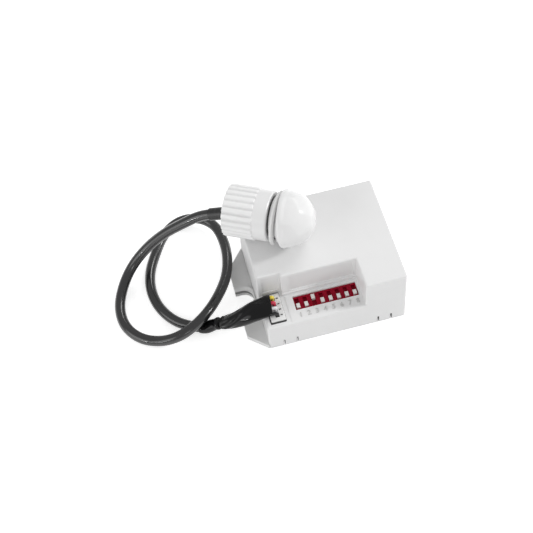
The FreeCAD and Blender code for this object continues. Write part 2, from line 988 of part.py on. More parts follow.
def lens_hollow():
    inner = lens_radius - lens_wall
    seat = neck_radius + lens_seat_gap
    step = lens_back + lens_rim
    profile = [(0, lens_back - 1), (seat, lens_back - 1), (seat, step), (inner, step)]
    for degrees in range(0, 90, 15):
        rise = math.radians(degrees)
        profile.append((inner * math.cos(rise), dome_centre + inner * math.sin(rise)))
    profile.append((0, dome_centre + inner))
    return profile


def clamp_nut():
    bore = barrel_radius + thread_gap
    profile = [
        (bore + nut_round, 0),
        (nut_radius - nut_round, 0),
        (nut_radius, nut_round),
        (nut_radius, nut_front - nut_round * 0.6),
        (nut_radius - nut_round * 0.6, nut_front),
        (bore, nut_front),
        (bore, nut_round),
    ]
    body = turned(profile)
    flutes = []
    groove_middle = nut_radius - flute_depth + flute_radius
    groove_end = nut_front - flute_end_margin
    for k in range(flute_count):
        around = 2 * math.pi * k / flute_count
        x = groove_middle * math.cos(around)
        y = groove_middle * math.sin(around)
        groove = Part.makeCylinder(flute_radius, groove_end + 1, Vector(x, y, -1))
        flutes.append(groove.fuse(Part.makeSphere(flute_radius, Vector(x, y, groove_end))))
    return on_head(body.cut(flutes))


def spacer_collar():
    bore = barrel_radius + thread_gap
    profile = [
        (bore, collar_back),
        (collar_radius, collar_back),
        (collar_radius, collar_front - collar_edge),
        (collar_radius - collar_edge, collar_front),
        (bore, collar_front),
    ]
    return on_head(turned(profile))


def head_board():
    disc = Part.makeCylinder(board_pocket - head_board_gap, head_board_thickness, Vector(0, 0, board_seat))
    return on_head(disc)


def sensor_can():
    low = board_seat + head_board_thickness
    top = low + can_height
    profile = [
        (0, low),
        (can_flange, low),
        (can_flange, low + can_flange_height),
        (can_radius, low + can_flange_height),
        (can_radius, top - can_edge),
        (can_radius - can_edge, top),
        (0, top),
    ]
    length, depth, sink = can_window
    window = Part.makeBox(length, depth, 1, Vector(-length / 2, -depth / 2, top - sink))
    return on_head(turned(profile).cut(window))


def light_sensor():
    length, depth, height = light_sensor_size
    low = board_seat + head_board_thickness
    return on_head(Part.makeBox(length, depth, height, Vector(can_flange + 0.5, -depth / 2, low)))


def boot_direction():
    plan = math.radians(head_plan_angle + 180 + boot_swing)
    tilt = math.radians(boot_tilt)
    return Vector(math.cos(plan) * math.cos(tilt), math.sin(plan) * math.cos(tilt), -math.sin(tilt))


def boot_root():
    placement = head_placement()
    return placement.multVec(Vector(-boot_drop, 0, barrel_back))


def boot_end():
    return boot_root() + boot_direction() * boot_length


def lead_boot():
    start = boot_root() - boot_direction() * boot_sunk
    tube = Part.makeCylinder(boot_radius, boot_length + boot_sunk, start, boot_direction())
    room = Part.makeCylinder(barrel_radius, 4, Vector(0, 0, barrel_back))
    return tube.cut(on_head(room))


# Lead

def lead_route():
    first = boot_end() + boot_direction() * lead_exit_run
    start = corner(*sleeve_stations[0][:3])
    return [boot_end(), first] + [corner(*p) for p in lead_points] + [start]


def lead_path(points):
    edges = []
    at = points[0]
    for k in range(1, len(points) - 1):
        before = points[k - 1] - points[k]
        after = points[k + 1] - points[k]
        shorter = min(before.Length, after.Length)
        turn = math.pi - before.getAngle(after)
        radius = 0.45 * shorter / math.tan(turn / 2)
        start = points[k] + before.normalize() * 0.45 * shorter
        end = points[k] + after.normalize() * 0.45 * shorter
        towards = (before + after).normalize()
        middle = points[k] + towards * radius * (1 / math.cos(turn / 2) - 1)
        edges.append(Part.LineSegment(at, start).toShape())
        edges.append(Part.Arc(start, middle, end).toShape())
        print("lead bend", k, "turn", round(math.degrees(turn), 1), "radius", round(radius, 1))
        at = end
    edges.append(Part.LineSegment(at, points[-1]).toShape())
    length = sum(edge.Length for edge in edges)
    print("lead length", round(length, 1))
    return Part.Wire(edges), length


def lead_tube():
    points = lead_route()
    path, length = lead_path(points)
    ring = Part.Wire([Part.makeCircle(lead_radius, points[0], points[1] - points[0])])
    tube = path.makePipeShell([ring], True, False)
    expected = math.pi * lead_radius ** 2 * length
    print("lead volume", round(tube.Volume, 2), "section times length", round(expected, 2))
    return tube


def main():
    os.makedirs("parts", exist_ok=True)
    save("cover_shell", cover_shell())
    save("base_plate", base_plate())
    save("circuit_board", circuit_board())
    save("relay", relay())
    save("film_capacitor", film_capacitor())
    save("smoothing_capacitor", smoothing_capacitor())
    save("varistor", varistor())
    save("control_chip", control_chip())
    save("terminal_block", terminal_block())
    save("terminal_clamps", terminal_clamps())
    save("switch_body", switch_body())
    for number in range(1, switch_count + 1):
        save("switch_slider_" + str(number), slider(number))
    save("pin_header", pin_header())
    save("header_pins", header_pins())
    save("plug_housing", plug_housing())
    save("plug_contacts", plug_contacts())
    names = ["wire_black", "wire_white", "wire_red", "wire_yellow"]
    for name, y in zip(names, pin_places()):
        save(name, wire(y))
    save("heat_shrink_sleeve", heat_shrink_sleeve())
    save("lead", lead_tube())
    save("lead_boot", lead_boot())
    save("head_body", head_body())
    save("clamp_nut", clamp_nut())
    save("spacer_collar", spacer_collar())
    save("seal_ring", seal_ring())
    save("lens_dome", lens_dome())
    save("head_board", head_board())
    save("sensor_can", sensor_can())
    save("light_sensor", light_sensor())


main()
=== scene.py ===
import math

import bmesh
import bpy
from mathutils import Matrix, Vector, noise


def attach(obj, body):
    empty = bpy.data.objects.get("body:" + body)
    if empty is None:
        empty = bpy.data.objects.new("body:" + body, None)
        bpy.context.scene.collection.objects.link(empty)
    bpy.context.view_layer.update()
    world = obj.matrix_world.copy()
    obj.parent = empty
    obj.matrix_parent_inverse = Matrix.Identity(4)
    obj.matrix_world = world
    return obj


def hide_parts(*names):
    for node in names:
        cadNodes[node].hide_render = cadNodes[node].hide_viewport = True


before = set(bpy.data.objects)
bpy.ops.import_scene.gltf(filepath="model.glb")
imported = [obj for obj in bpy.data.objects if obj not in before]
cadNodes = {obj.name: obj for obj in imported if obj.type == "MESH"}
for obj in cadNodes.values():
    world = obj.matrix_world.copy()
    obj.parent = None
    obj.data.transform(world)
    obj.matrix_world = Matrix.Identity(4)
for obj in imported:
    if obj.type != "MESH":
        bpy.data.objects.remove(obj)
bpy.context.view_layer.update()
print("stage: model loaded,", len(cadNodes), "pieces")

mm = 0.001


def place(x, y, z):
    return Vector((x * mm, y * mm, z * mm))


def addObject(name, data):
    obj = bpy.data.objects.new(name, data)
    bpy.context.scene.collection.objects.link(obj)
    return obj


# camera, set to the photograph's view
camera = {
    "azimuth": -10.253,
    "elevation": 55.299,
    "roll": -5.179,
    "distance": 364.34,
    "target": (-9.97, 7.83, 8.0),
    "lens": 78.22,
    "sensor": 36,
    "shift": (-0.03239, -0.02021),
    "clip": (0.01, 20),   # nearest and farthest that it sees, in metres
}


def makeCamera(c):
    turn, rise, roll = (math.radians(c[k]) for k in ("azimuth", "elevation", "roll"))
    back = Vector((math.sin(turn) * math.cos(rise), -math.cos(turn) * math.cos(rise), math.sin(rise)))
    side = Vector((0, 0, 1)).cross(back).normalized()
    up = back.cross(side)
    sideRolled = side * math.cos(roll) + up * math.sin(roll)
    upRolled = up * math.cos(roll) - side * math.sin(roll)
    data = bpy.data.cameras.new("camera")
    data.lens = c["lens"]
    data.sensor_width = c["sensor"]
    data.shift_x, data.shift_y = c["shift"]
    data.clip_start, data.clip_end = c["clip"]
    obj = addObject("camera", data)
    turnMatrix = Matrix((sideRolled, upRolled, back)).transposed().to_4x4()
    obj.matrix_world = Matrix.Translation(place(*c["target"]) + back * c["distance"] * mm) @ turnMatrix
    bpy.context.scene.camera = obj


makeCamera(camera)


# lead between the head and the plug's sleeve, route in millimetres
lead = {
    "diameter": 3.3,
    "length": 0.1887,   # in metres
    "roundness": 24,    # sides of the tube
    "steps": 12,
    "route": [
        (-29.84, 16.87, 25.86),
        (-32.88, 18.35, 24.63),
        (-38.40, 19.10, 21.60),
        (-44.40, 20.60, 17.10),
        (-50.60, 21.30, 11.30),
        (-56.60, 19.50, 6.20),
        (-61.10, 15.00, 2.70),
        (-63.90, 7.90, 1.65),
        (-63.50, 0.50, 1.65),
        (-59.60, -5.40, 1.65),
        (-53.60, -8.45, 2.00),
        (-47.50, -9.80, 4.40),
        (-41.70, -8.20, 6.50),
        (-36.90, -4.40, 6.50),
        (-32.40, 1.40, 5.50),
        (-28.60, 8.20, 4.50),
        (-26.75, 15.60, 4.20),
        (-26.60, 22.80, 3.70),
        (-28.00, 29.40, 3.50),
        (-32.90, 33.90, 3.50),
        (-39.30, 34.60, 3.00),
        (-45.00, 31.20, 2.10),
        (-48.95, 24.70, 1.65),
        (-52.00, 18.30, 1.65),
        (-53.10, 11.40, 1.65),
        (-51.90, 4.40, 1.65),
        (-48.60, -1.40, 1.65),
        (-44.30, -5.00, 1.75),
        (-40.60, -7.00, 2.35),
    ],
}


def smoothCurve(name, points, radius, roundness, steps):
    data = bpy.data.curves.new(name, "CURVE")
    data.dimensions = "3D"
    spline = data.splines.new("NURBS")
    spline.points.add(len(points) - 1)
    for point, spot in zip(spline.points, points):
        point.co = (*place(*spot), 1)
        point.radius = radius * mm   # the tube's own radius, so the curve's bounds stay true
    spline.order_u = 3
    spline.use_endpoint_u = True
    spline.resolution_u = steps
    data.bevel_depth = 1
    data.bevel_resolution = roundness // 4
    data.use_fill_caps = True
    return addObject(name, data)


leadCurve = smoothCurve("leadJacket", lead["route"], lead["diameter"] / 2, lead["roundness"], lead["steps"])
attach(leadCurve, "lead_and_head")
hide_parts("lead")
print("stage: camera and lead laid")


# helpers for shader and geometry trees
def newGroup(name, inputs, outputs, kind="ShaderNodeTree"):
    group = bpy.data.node_groups.new(name, kind)
    for label, socketKind, value in inputs:
        socket = group.interface.new_socket(label, in_out="INPUT", socket_type=socketKind)
        if value is not None:
            socket.default_value = value
    for label, socketKind in outputs:
        group.interface.new_socket(label, in_out="OUTPUT", socket_type=socketKind)
    return group, group.nodes.new("NodeGroupInput"), group.nodes.new("NodeGroupOutput")


def link(tree, source, target):
    tree.links.new(source, target)


def setOrLink(tree, socket, value):
    if value is None:
        return
    if isinstance(value, bpy.types.NodeSocket):
        link(tree, value, socket)
    elif isinstance(value, (tuple, list)) and len(value) == 3 and socket.type == "RGBA":
        socket.default_value = (*value, 1)
    else:
        socket.default_value = value


def mathNode(tree, operation, a, b=None, c=None, clamp=False):
    node = tree.nodes.new("ShaderNodeMath")
    node.operation = operation
    node.use_clamp = clamp
    for socket, value in zip(node.inputs, (a, b, c)):
        setOrLink(tree, socket, value)
    return node.outputs[0]


def mapRange(tree, value, low, high):
    # 0 at the low value, 1 at the high one
    node = tree.nodes.new("ShaderNodeMapRange")
    for label, given in (("Value", value), ("From Min", low), ("From Max", high)):
        setOrLink(tree, node.inputs[label], given)
    return node.outputs[0]


def mixColours(tree, factor, first, second):
    node = tree.nodes.new("ShaderNodeMix")
    node.data_type = "RGBA"
    for socket, value in ((node.inputs[0], factor), (node.inputs[6], first), (node.inputs[7], second)):
        setOrLink(tree, socket, value)
    return node.outputs[2]


def noiseNode(tree, where, scale, detail, roughness=0.5):
    node = tree.nodes.new("ShaderNodeTexNoise")
    link(tree, where, node.inputs["Vector"])
    setOrLink(tree, node.inputs["Scale"], scale)
    node.inputs["Detail"].default_value = detail
    node.inputs["Roughness"].default_value = roughness
    return node.outputs["Fac"]


# moulded surface, scales as repeats in one metre
moulding = {
    "cloudScale": 70,
    "cloudEdges": (0.35, 0.65),
    "rubbedScale": 260,
    "speckScale": 520,
    "speckEdges": (0.05, 0.02),
    "dustScale": 95,
    "dustEdges": (0.56, 0.66),
    "dustColour": (0.45, 0.43, 0.40),
    "grainHeight": 0.00004,
}


def makeMouldedSurface(m):
    # fine texture of a moulding tool, soft cloudiness, specks of dust and a few rubbed places
    inputs = [
        ("Colour", "NodeSocketColor", (0.8, 0.8, 0.8, 1)),
        ("Shade", "NodeSocketFloat", 0.96),
        ("Roughness", "NodeSocketFloat", 0.4),
        ("Grain size", "NodeSocketFloat", 3500.0),
        ("Grain depth", "NodeSocketFloat", 0.15),
        ("Rubbing", "NodeSocketFloat", 0.1),
        ("Dust", "NodeSocketFloat", 0.0),
    ]
    outputs = [
        ("Colour", "NodeSocketColor"),
        ("Roughness", "NodeSocketFloat"),
        ("Normal", "NodeSocketVector"),
    ]
    tree, given, result = newGroup("mouldedSurface", inputs, outputs)
    where = tree.nodes.new("ShaderNodeTexCoord").outputs["Object"]
    grain = noiseNode(tree, where, given.outputs["Grain size"], 3)
    cloud = mapRange(tree, noiseNode(tree, where, m["cloudScale"], 4), *m["cloudEdges"])
    rubbed = noiseNode(tree, where, m["rubbedScale"], 6, 0.7)
    darker = tree.nodes.new("ShaderNodeVectorMath")
    darker.operation = "SCALE"
    link(tree, given.outputs["Colour"], darker.inputs[0])
    link(tree, given.outputs["Shade"], darker.inputs["Scale"])
    colour = mixColours(tree, cloud, given.outputs["Colour"], darker.outputs[0])
    specks = tree.nodes.new("ShaderNodeTexVoronoi")
    link(tree, where, specks.inputs["Vector"])
    specks.inputs["Scale"].default_value = m["speckScale"]
    speckMask = mapRange(tree, specks.outputs["Distance"], *m["speckEdges"])
    dusty = mapRange(tree, noiseNode(tree, where, m["dustScale"], 2), *m["dustEdges"])
    speckMask = mathNode(tree, "MULTIPLY", speckMask, dusty)
    speckMask = mathNode(tree, "MULTIPLY", speckMask, given.outputs["Dust"])
    colour = mixColours(tree, speckMask, colour, m["dustColour"])
    link(tree, colour, result.inputs["Colour"])
    marks = mathNode(tree, "MULTIPLY", mathNode(tree, "SUBTRACT", rubbed, 0.5), given.outputs["Rubbing"])
    rough = mathNode(tree, "ADD", given.outputs["Roughness"], marks, clamp=True)
    link(tree, rough, result.inputs["Roughness"])
    bump = tree.nodes.new("ShaderNodeBump")
    bump.inputs["Distance"].default_value = m["grainHeight"]
    link(tree, given.outputs["Grain depth"], bump.inputs["Strength"])
    link(tree, grain, bump.inputs["Height"])
    link(tree, bump.outputs[0], result.inputs["Normal"])
    return tree


mouldedSurface = makeMouldedSurface(moulding)


def makeGapShade():
    # how deep a point lies inside a narrow gap, given by the gap's two corners; it masks the shade painted
    # there
    inputs = [
        ("Low", "NodeSocketVector", (0, 0, 0)),
        ("High", "NodeSocketVector", (0, 0, 0)),
        ("Softness", "NodeSocketFloat", 0.00003),
    ]
    tree, given, result = newGroup("paintedGapShade", inputs, [("Mask", "NodeSocketFloat")])
    where = tree.nodes.new("ShaderNodeTexCoord").outputs["Object"]
    mask = None
    for first, second in ((where, given.outputs["Low"]), (given.outputs["High"], where)):
        apart = tree.nodes.new("ShaderNodeVectorMath")
        apart.operation = "SUBTRACT"
        link(tree, first, apart.inputs[0])
        link(tree, second, apart.inputs[1])
        parts = tree.nodes.new("ShaderNodeSeparateXYZ")
        link(tree, apart.outputs[0], parts.inputs[0])
        for part in parts.outputs:
            mask = part if mask is None else mathNode(tree, "MINIMUM", mask, part)
    mask = mathNode(tree, "DIVIDE", mask, given.outputs["Softness"], clamp=True)
    link(tree, mask, result.inputs["Mask"])
    return tree


paintedGapShade = makeGapShade()
# near-black colour of the shade painted into gaps, nut grooves and the barrel's neck
paintedShadeColour = (0.02, 0.02, 0.02)


def newMaterial(name):
    material = bpy.data.materials.new(name)
    material.use_nodes = True
    return material, material.node_tree, material.node_tree.nodes["Principled BSDF"]


def paintShadeInGaps(tree, colour, gaps):
    # shade painted into each gap: low corner and high corner in millimetres, how dark it gets
    for low, high, strength in gaps:
        zone = tree.nodes.new("ShaderNodeGroup")
        zone.node_tree = paintedGapShade
        zone.inputs["Low"].default_value = place(*low)
        zone.inputs["High"].default_value = place(*high)
        mask = mathNode(tree, "MULTIPLY", zone.outputs["Mask"], strength)
        colour = mixColours(tree, mask, colour, paintedShadeColour)
    return colour


def plastic(name, colour, roughness, shade, grain, depth, rubbing, dust=0.0, gaps=(), paintedShade="",
            **constants):
    material, tree, shader = newMaterial(name)
    surface = tree.nodes.new("ShaderNodeGroup")
    surface.node_tree = mouldedSurface
    values = (("Colour", (*colour, 1)), ("Shade", shade), ("Roughness", roughness), ("Grain size", grain),
              ("Grain depth", depth), ("Rubbing", rubbing), ("Dust", dust))
    for label, value in values:
        surface.inputs[label].default_value = value
    shaded = paintShadeInGaps(tree, surface.outputs["Colour"], gaps)
    # shade painted from a point attribute, darker in grooves and gaps where shade falls
    if paintedShade:
        paintedShadeValue = tree.nodes.new("ShaderNodeAttribute")
        paintedShadeValue.attribute_name = paintedShade
        shaded = mixColours(tree, paintedShadeValue.outputs["Fac"], shaded, paintedShadeColour)
    link(tree, shaded, shader.inputs["Base Color"])
    link(tree, surface.outputs["Roughness"], shader.inputs["Roughness"])
    link(tree, surface.outputs["Normal"], shader.inputs["Normal"])
    for label, value in constants.items():
        shader.inputs[label.replace("_", " ")].default_value = value
    return material


# narrow gaps where shade is painted into the colour: the plug's port, the plug's own foot, the ear's lip
# and the slits beside the two snap tabs
gaps = {
    # low corner, high corner, how dark the painted shade gets
    "port": ((-20.33, -17.68, 5.0), (-15.32, -6.87, 10.99), 0.95),
    "plugFoot": ((-21.0, -18.0, 5.0), (-15.0, -6.0, 11.02), 0.75),
    "earLip": ((-27.6, -4.62, 1.2), (-21.9, 2.42, 2.86), 0.85),
    "slits": (-16.95, -12.85, 12.85, 16.95),   # X of each slit's middle
    "slitHalf": 0.3,
    "slitLow": (-19.06, 0.5),    # Y and Z of the low corner
    "slitHigh": (-15.0, 3.04),   # and of the high one
    "slitStrength": 0.97,
}
slitGaps = []
for x in gaps["slits"]:
    low = (x - gaps["slitHalf"], *gaps["slitLow"])
    high = (x + gaps["slitHalf"], *gaps["slitHigh"])
    slitGaps.append((low, high, gaps["slitStrength"]))

# name, colour, roughness, shade, grain size, grain depth, rubbing, dust
finishes = {
    "cover": plastic("coverWhite", (0.80, 0.80, 0.80), 0.42, 0.975, 3800, 0.14, 0.10, 0.35,
                     gaps=[gaps["port"]] + slitGaps),
    "base": plastic("baseWhite", (0.77, 0.77, 0.765), 0.44, 0.97, 3200, 0.18, 0.1, 0.3,
                    gaps=[gaps["earLip"]] + slitGaps),
    "head": plastic("headWhite", (0.82, 0.82, 0.82), 0.30, 0.98, 4200, 0.08, 0.1, 0.2),
    "nut": plastic("nutWhite", (0.89, 0.89, 0.89), 0.30, 0.98, 4200, 0.08, 0.1, 0.2,
                   paintedShade="paintedGrooveShade"),
    "barrel": plastic("barrelWhite", (0.80, 0.80, 0.80), 0.34, 0.98, 4200, 0.08, 0.1, 0.2,
                      paintedShade="paintedNeckShade"),
    "seal": plastic("sealWhite", (0.78, 0.78, 0.775), 0.5, 0.96, 2600, 0.25, 0.1, 0.3),
    "lens": plastic("lensMilky", (0.83, 0.83, 0.83), 0.26, 0.985, 2200, 0.03, 0.08, 0.15,
                    Specular_IOR_Level=0.38, Subsurface_Weight=0.1, Subsurface_Scale=0.001,
                    Subsurface_Radius=(1, 1, 1)),
    "switchRed": plastic("switchRed", (0.30, 0.002, 0.018), 0.4, 0.85, 3000, 0.2, 0.15, 0.3,
                         Specular_IOR_Level=0.1),
    "sliderWhite": plastic("sliderWhite", (0.80, 0.79, 0.77), 0.28, 0.95, 5000, 0.1, 0.1),
    # the raised numbers are painted grey, which stands in for the shade round them
    "number": plastic("numberGrey", (0.60, 0.60, 0.59), 0.5, 0.9, 3000, 0.2, 0.1, 0.2),
    "header": plastic("headerWhite", (0.45, 0.44, 0.42), 0.42, 0.95, 4000, 0.15, 0.1),
    "plug": plastic("plugWhite", (0.83, 0.83, 0.825), 0.38, 0.97, 4000, 0.15, 0.1, 0.3,
                    gaps=[gaps["plugFoot"]]),
    "board": plastic("boardGreen", (0.015, 0.10, 0.035), 0.33, 0.8, 1500, 0.2, 0.15, Coat_Weight=0.4),
    "relay": plastic("relayBlue", (0.02, 0.05, 0.17), 0.38, 0.9, 3000, 0.15, 0.15),
    "film": plastic("filmYellow", (0.60, 0.36, 0.03), 0.33, 0.92, 2500, 0.2, 0.15),
    "can": plastic("canSleeve", (0.03, 0.032, 0.05), 0.3, 0.8, 2500, 0.1, 0.2),
    "varistor": plastic("varistorBlue", (0.02, 0.08, 0.30), 0.4, 0.85, 900, 0.5, 0.2),
    "chip": plastic("chipBlack", (0.02, 0.02, 0.02), 0.5, 0.8, 5000, 0.4, 0.15),
    "terminal": plastic("terminalGrey", (0.60, 0.60, 0.58), 0.45, 0.95, 3200, 0.2, 0.1),
    "leadGrey": plastic("leadGrey", (0.017, 0.017, 0.018), 0.20, 0.75, 1500, 0.12, 0.2, 0.4,
                        Specular_IOR_Level=0.8),
    "bootGrey": plastic("bootGrey", (0.020, 0.020, 0.021), 0.36, 0.5, 700, 1.0, 0.5, 0.6),
    "sleeveBlack": plastic("sleeveBlack", (0.003, 0.003, 0.0035), 0.15, 0.7, 700, 0.15, 0.2, 0.2,
                           Specular_IOR_Level=0.3),
    "wireYellow": plastic("wireYellow", (0.88, 0.72, 0.08), 0.3, 0.95, 2500, 0.15, 0.1),
    "wireRed": plastic("wireRed", (0.68, 0.03, 0.08), 0.3, 0.92, 2500, 0.15, 0.1),
    "wireWhite": plastic("wireWhite", (0.84, 0.84, 0.86), 0.3, 0.97, 2500, 0.15, 0.1),
    "wireBlack": plastic("wireBlack", (0.012, 0.012, 0.014), 0.3, 0.8, 2500, 0.15, 0.15),
    "metal": plastic("tinnedMetal", (0.62, 0.61, 0.59), 0.28, 0.9, 1200, 0.25, 0.25, Metallic=1.0),
    "dark": plastic("darkGlass", (0.01, 0.008, 0.012), 0.08, 0.8, 2500, 0.03, 0.05),
}

nodeFinish = {
    "cover_shell": "cover",
    "base_plate": "base",
    "circuit_board": "board",
    "relay": "relay",
    "film_capacitor": "film",
    "smoothing_capacitor": "can",
    "varistor": "varistor",
    "control_chip": "chip",
    "terminal_block": "terminal",
    "terminal_clamps": "metal",
    "switch_body": "switchRed",
    "pin_header": "header",
    "header_pins": "metal",
    "plug_housing": "plug",
    "plug_contacts": "metal",
    "wire_black": "wireBlack",
    "wire_white": "wireWhite",
    "wire_red": "wireRed",
    "wire_yellow": "wireYellow",
    "heat_shrink_sleeve": "sleeveBlack",
    "lead_boot": "bootGrey",
    "head_body": "barrel",
    "clamp_nut": "nut",
    "spacer_collar": "head",
    "seal_ring": "seal",
    "lens_dome": "lens",
    "head_board": "board",
    "sensor_can": "metal",
    "light_sensor": "dark",
}
sliderCount = 8   # the raised numbers follow it too
for number in range(1, sliderCount + 1):
    nodeFinish["switch_slider_%d" % number] = "sliderWhite"


def finish(obj, name):
    obj.data.materials.clear()
    obj.data.materials.append(finishes[name])


for node, name in nodeFinish.items():
    for slot in cadNodes[node].material_slots:
        slot.material = finishes[name]
finish(leadCurve, "leadGrey")
print("stage: materials made and given out")


# mesh helpers
joinDistance = 1e-7   # in metres


def joinMeshes(name, meshes):
    # one object from one or more meshes, its doubles merged and its faces outwards
    work = bmesh.new()
    for mesh in meshes:
        work.from_mesh(mesh)
    bmesh.ops.remove_doubles(work, verts=work.verts, dist=joinDistance)
    bmesh.ops.recalc_face_normals(work, faces=work.faces)
    whole = bpy.data.meshes.new(name)
    work.to_mesh(whole)
    work.free()
    return addObject(name, whole)


def meshObject(name, spots, faces):
    mesh = bpy.data.meshes.new(name)
    mesh.from_pydata(spots, [], faces)
    mesh.update()
    for face in mesh.polygons:
        face.use_smooth = True
    return joinMeshes(name, [mesh])


def shadeVertices(obj, label, amount):
    # a value for every point, which the finish reads as painted shade
    layer = obj.data.attributes.new(label, "FLOAT", "POINT")
    for vertex, value in zip(obj.data.vertices, layer.data):
        value.value = amount(vertex.co / mm)
    return obj


def circle(radius, along, around):
    turns = [2 * math.pi * k / around for k in range(around)]
    return [Vector((radius * math.cos(t), radius * math.sin(t), along)) for t in turns]


def quarterTurn(steps):
    return [math.radians(90 * k / steps) for k in range(steps + 1)]


def ringMesh(name, rings, closed=True):
    # skin over rings of points in millimetres, with a flat cap at each end where it is closed
    around = len(rings[0])
    spots = [tuple(p * mm) for ring in rings for p in ring]
    faces = []
    for low in range(0, (len(rings) - 1) * around, around):
        high = low + around
        for k in range(around):
            n = (k + 1) % around
            faces.append((low + k, low + n, high + n, high + k))
    if closed:
        faces.append(tuple(reversed(range(around))))
        faces.append(tuple(range(len(spots) - around, len(spots))))
    obj = meshObject(name, spots, faces)
    for face in obj.data.polygons:
        face.use_smooth = len(face.vertices) < 5   # the caps stay flat
    return obj


def sharpenByAngle(obj, degrees):
    # flat faces stay crisp beside the rounded ones
    work = bmesh.new()
    work.from_mesh(obj.data)
    for edge in work.edges:
        edge.smooth = edge.calc_face_angle(0) < math.radians(degrees)
    work.to_mesh(obj.data)
    work.free()


def shapedMesh(obj):
    # plain mesh of an object as its curve or modifiers shape it
    bpy.context.view_layer.update()
    return bpy.data.meshes.new_from_object(obj.evaluated_get(bpy.context.evaluated_depsgraph_get()))


def socketName(tree, label):
    sockets = tree.interface.items_tree
    return next(item.identifier for item in sockets if item.name == label and item.in_out == "INPUT")


def newShapeTree(name, sizes):
    # geometry tree with its sizes and a material as inputs
    inputs = [("Geometry", "NodeSocketGeometry", None)] + sizes + [("Material", "NodeSocketMaterial", None)]
    tree, given, result = newGroup(name, inputs, [("Geometry", "NodeSocketGeometry")], "GeometryNodeTree")
    tree.is_modifier = True
    return tree, given, result


def dressResult(tree, given, result, shape):
    dressed = tree.nodes.new("GeometryNodeSetMaterial")
    link(tree, shape, dressed.inputs["Geometry"])
    link(tree, given.outputs["Material"], dressed.inputs["Material"])
    link(tree, dressed.outputs[0], result.inputs[0])


def bakeTree(obj, tree, values):
    # the tree's inputs are set first, then its result becomes a plain mesh
    modifier = obj.modifiers.new(tree.name, "NODES")
    modifier.node_group = tree
    for label, value in values.items():
        modifier[socketName(tree, label)] = value
    shaped = shapedMesh(obj)
    obj.modifiers.clear()
    obj.data = shaped
    return obj


# head: its own axis runs from the nut's rear face to the dome
head = {
    "origin": (-24.18, 14.30, 29.4925),
    "turn": -30,
    "rise": 3.35334,
}


def pointing(turn, rise):
    # direction at so many degrees from the X axis and above the ground
    turn, rise = math.radians(turn), math.radians(rise)
    return Vector((math.cos(turn) * math.cos(rise), math.sin(turn) * math.cos(rise), math.sin(rise)))


def headMatrix(h):
    axis = pointing(h["turn"], h["rise"])
    side = Vector((0, 0, 1)).cross(axis).normalized()
    up = axis.cross(side)
    turn = Matrix((up, -side, axis)).transposed().to_4x4()
    return Matrix.Translation(place(*h["origin"])) @ turn


onHead = headMatrix(head)


def putOnHead(obj, node, name, body="lead_and_head"):
    obj.data.transform(onHead)
    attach(obj, body)
    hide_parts(node)
    finish(obj, name)


# ribbed nut: one sector, repeated round the axis
nut = {
    "ribs": 24,
    "radius": 8.0,
    "bore": 6.25,
    "boreEdge": 0.35,             # chamfer at the rear of the bore
    "length": 9.44,
    "frontRound": 0.42,
    "frontSteps": 5,
    "rearRound": 0.16,
    "rearSteps": 4,
    "frontRings": (6.9, 7.35),    # radii of the rings on the two end faces
    "rearRings": (7.35, 7.1, 6.75),
    "boreRings": (3.0, 6.0),      # places of the rings along the bore
    "rowStep": 0.45,
    "across": 18,
    "grooveDepth": 0.42,
    "grooveWidth": 0.66,          # from the groove's middle line to its shoulder
    "grooveFullness": 1.3,        # higher is wider at the root
    # how dark the shade painted into the grooves gets
    "paintedGrooveShade": 0.12,
    "shadeFocus": 1.5,            # higher keeps the painted shade nearer the root
    "shadeStop": 0.02,            # distance from the front face where it ends
}


def nutProfile(n):
    # radius and place along the axis, from the front bore over the outside to the rear bore
    rows = [(r, n["length"]) for r in (n["bore"], *n["frontRings"])]
    for a in quarterTurn(n["frontSteps"]):
        r = n["radius"] - n["frontRound"] * (1 - math.sin(a))
        rows.append((r, n["length"] - n["frontRound"] * (1 - math.cos(a))))
    s = n["length"] - n["frontRound"]
    while s > n["rearRound"] + n["rowStep"]:
        s -= n["rowStep"]
        rows.append((n["radius"], s))
    for a in quarterTurn(n["rearSteps"]):
        rows.append((n["radius"] - n["rearRound"] * (1 - math.cos(a)), n["rearRound"] * (1 - math.sin(a))))
    rows += [(r, 0) for r in (*n["rearRings"], n["bore"] + n["boreEdge"])]
    rows += [(n["bore"], s) for s in (n["boreEdge"], *n["boreRings"], n["length"])]
    return rows


def grooveCut(n, x):
    away = min(1.0, abs(x) / n["grooveWidth"])
    return n["grooveDepth"] * (0.5 + 0.5 * math.cos(math.pi * away ** n["grooveFullness"]))


# shade painted into each groove's root, darker the deeper it lies
def grooveDarkness(n, p):
    depth = (n["radius"] - math.hypot(p.x, p.y)) / n["grooveDepth"]
    inGroove = abs(math.atan2(p.y, p.x) * n["radius"]) < n["grooveWidth"]
    if not inGroove or p.z >= n["length"] - n["shadeStop"]:
        return 0.0
    return n["paintedGrooveShade"] * min(1.0, max(0.0, depth)) ** n["shadeFocus"]


def makeSector(n):
    step = 2 * math.pi / n["ribs"]
    profile = nutProfile(n)
    spots = []
    faces = []
    width = n["across"] + 1
    for r, s in profile:
        for k in range(width):
            turn = step * (k / n["across"] - 0.5)
            reach = min(r, n["radius"] - grooveCut(n, turn * n["radius"]))
            spots.append(tuple(Vector((reach * math.cos(turn), reach * math.sin(turn), s)) * mm))
    for row in range(len(profile) - 1):
        for k in range(n["across"]):
            low = row * width + k
            faces.append((low, low + 1, low + width + 1, low + width))
    sector = meshObject("ribbedNut", spots, faces)
    return shadeVertices(sector, "paintedGrooveShade", lambda p: grooveDarkness(n, p))


